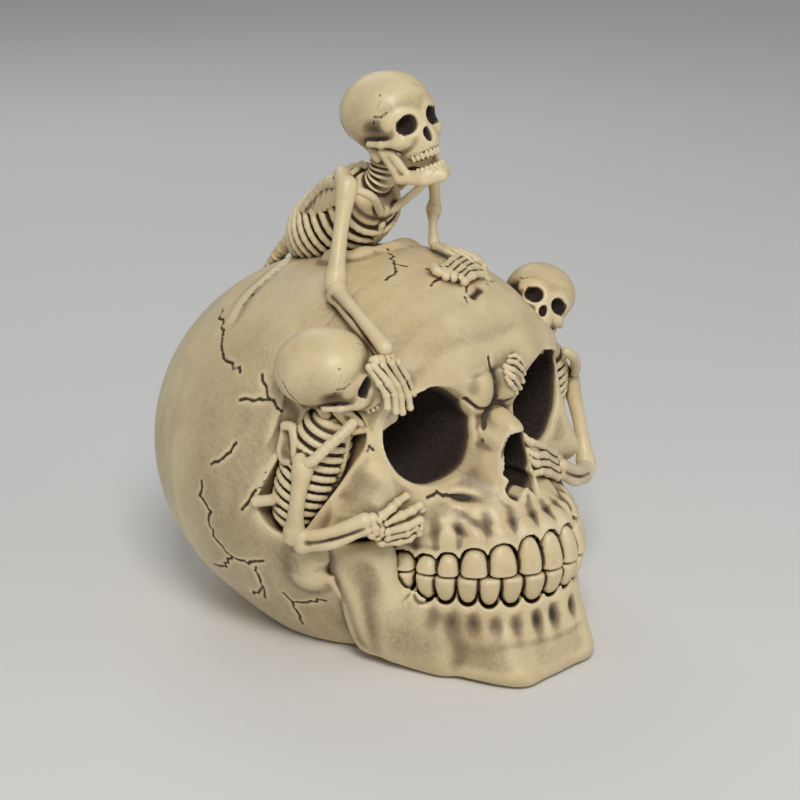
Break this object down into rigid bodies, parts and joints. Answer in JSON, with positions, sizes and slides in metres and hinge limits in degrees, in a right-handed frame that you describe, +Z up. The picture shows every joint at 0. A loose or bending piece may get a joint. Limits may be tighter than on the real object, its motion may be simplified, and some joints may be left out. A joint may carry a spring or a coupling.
{
  "type": "halloween skull decoration",
  "caption": "Bone-coloured resin skull ornament with small skeletons and bony hands climbing out of its crown, temples and face.",
  "frame": {"origin": "middle of the underside of the round felt pad under the vault of the skull, on the surface that it stands on", "axes": "+Z up, the face looks towards -Y, the skull's own right side is -X"},
  "size_m": [0.1456, 0.1746, 0.1965],
  "materials": {
    "bone_resin": "satin cast resin, bone colour with a brown antique wash in the recesses",
    "dark_resin": "dark brown painted sockets and stopper",
    "felt": "matt felt",
    "steel_pin": "plain steel rod, hidden inside"
  },
  "bodies": {
    "root": {"skull_casting": "bone_resin", "jaw": "bone_resin", "top_torso": "bone_resin", "right_torso": "bone_resin", "left_torso": "bone_resin", "top_head": "bone_resin", "top_jaw": "bone_resin", "right_head": "bone_resin", "left_head": "bone_resin", "top_right_upper_arm": "bone_resin", "top_right_forearm": "bone_resin", "top_left_upper_arm": "bone_resin", "top_left_forearm": "bone_resin", "right_upper_arm": "bone_resin", "right_forearm": "bone_resin", "left_upper_arm": "bone_resin", "left_forearm": "bone_resin", "top_right_hand": "bone_resin", "top_left_hand": "bone_resin", "right_hand": "bone_resin", "left_nose_hand": "bone_resin", "left_brow_hand": "bone_resin", "forehead_hand": "bone_resin", "top_neck_pin": "steel_pin", "top_body_pin": "steel_pin", "right_neck_pin": "steel_pin", "left_neck_pin": "steel_pin", "base_plug": "dark_resin", "base_felt_pad": "felt", "chin_felt_pad": "felt"}
  },
  "joints": []
}
